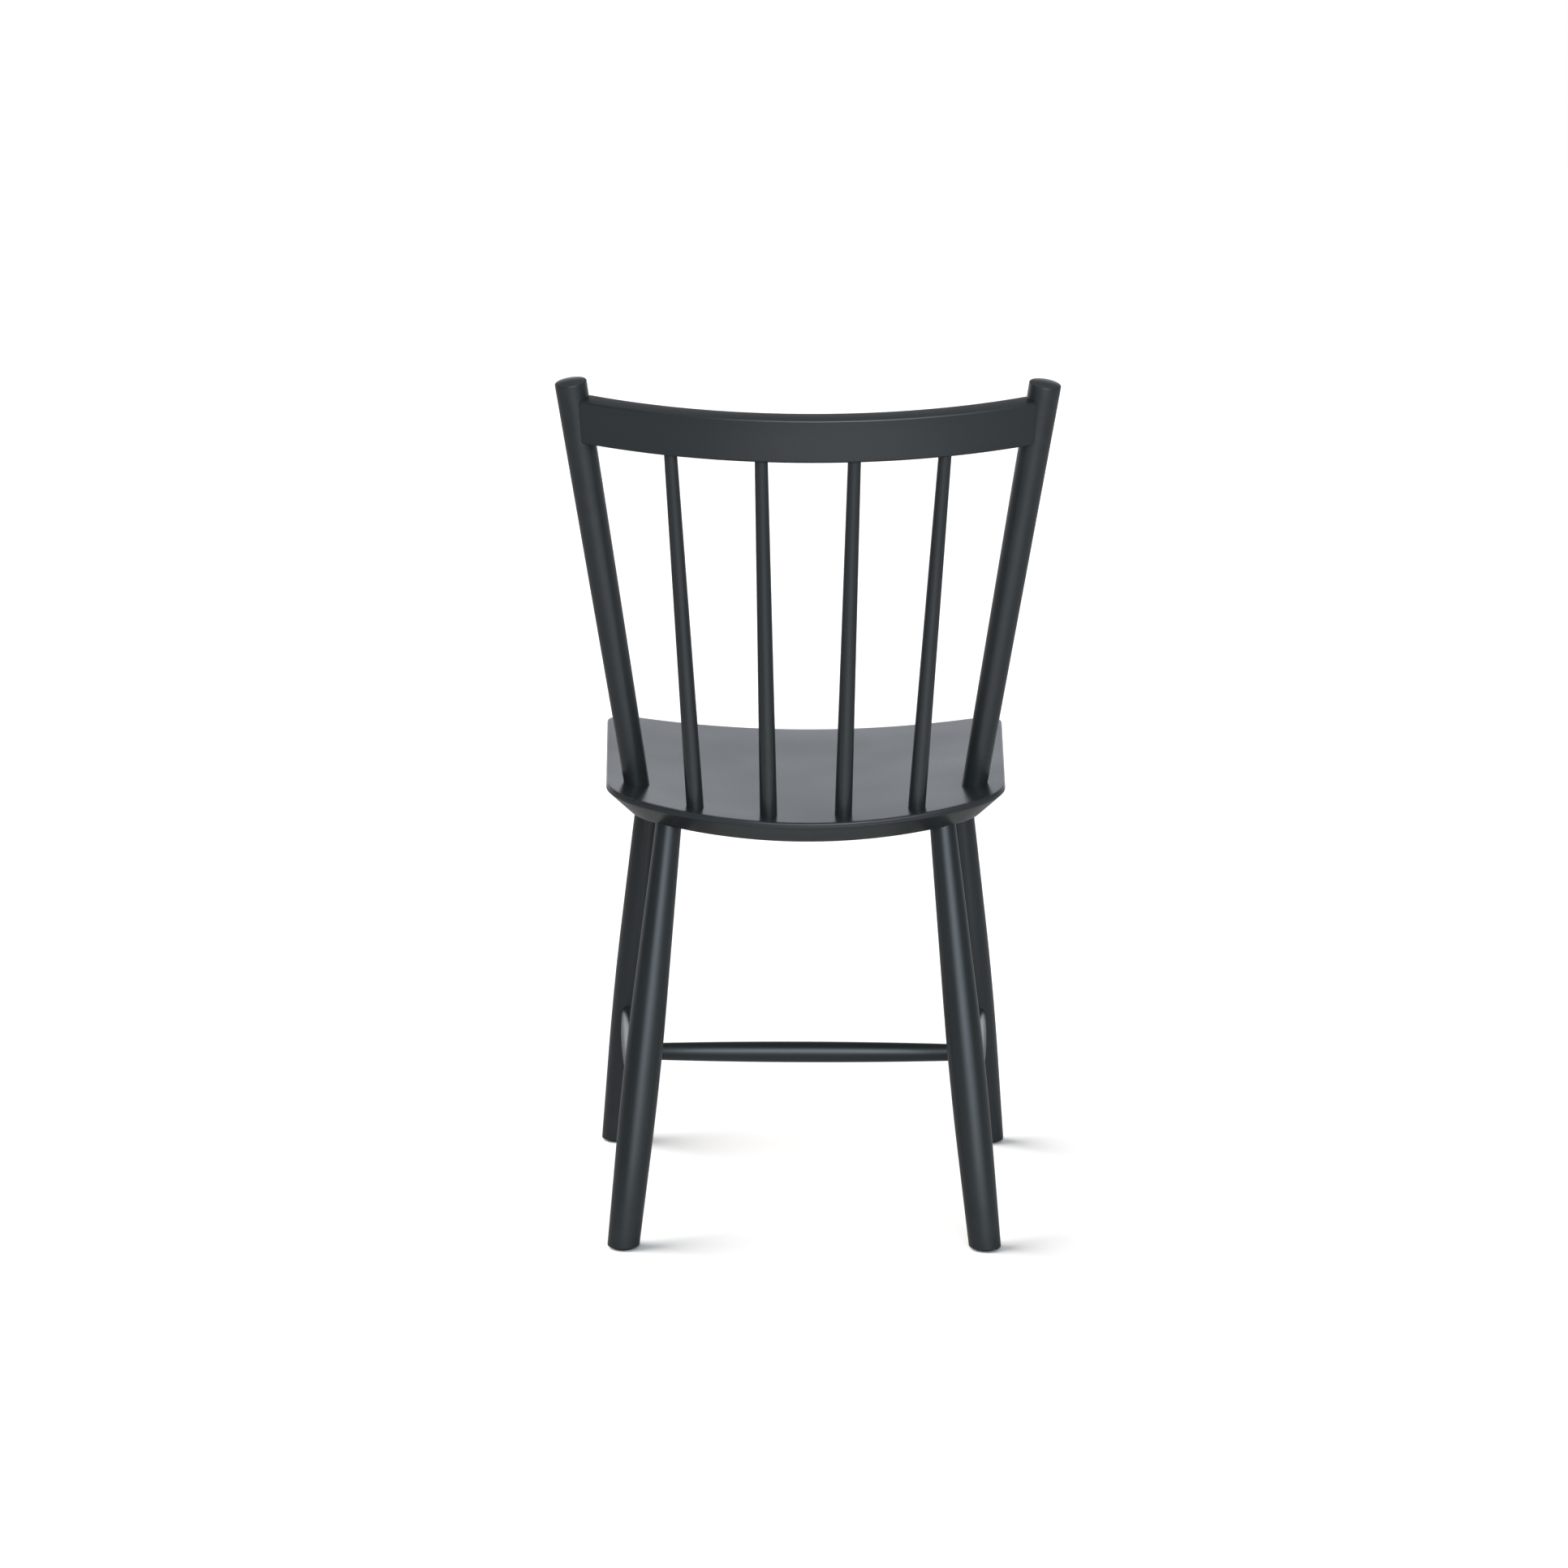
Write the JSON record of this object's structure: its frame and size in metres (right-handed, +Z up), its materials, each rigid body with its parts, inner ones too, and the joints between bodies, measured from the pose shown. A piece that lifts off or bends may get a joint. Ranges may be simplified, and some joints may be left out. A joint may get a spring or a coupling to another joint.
{
  "type": "side chair",
  "caption": "Lacquered wooden side chair with a hollowed board seat, turned and splayed legs joined by stretchers, and a leaning spindle back under a bent crest rail.",
  "frame": {"origin": "on the floor, under the middle of the chair's bounding box", "axes": "+Z up, the chair faces -Y, and +X points to the sitter's left"},
  "size_m": [0.4814, 0.4517, 0.8529],
  "materials": {
    "lacquered_wood": "satin lacquer",
    "glide_plastic": "matte",
    "steel": "bright"
  },
  "bodies": {
    "root": {"crest_rail": "lacquered_wood", "cross_stretcher": "lacquered_wood", "front_left_glide": "glide_plastic", "front_left_leg": "lacquered_wood", "front_right_glide": "glide_plastic", "front_right_leg": "lacquered_wood", "glide_nails": "steel", "inner_left_spindle": "lacquered_wood", "inner_right_spindle": "lacquered_wood", "left_back_post": "lacquered_wood", "left_side_stretcher": "lacquered_wood", "outer_left_spindle": "lacquered_wood", "outer_right_spindle": "lacquered_wood", "rear_left_glide": "glide_plastic", "rear_left_leg": "lacquered_wood", "rear_right_glide": "glide_plastic", "rear_right_leg": "lacquered_wood", "right_back_post": "lacquered_wood", "right_side_stretcher": "lacquered_wood", "seat": "lacquered_wood"}
  },
  "joints": []
}
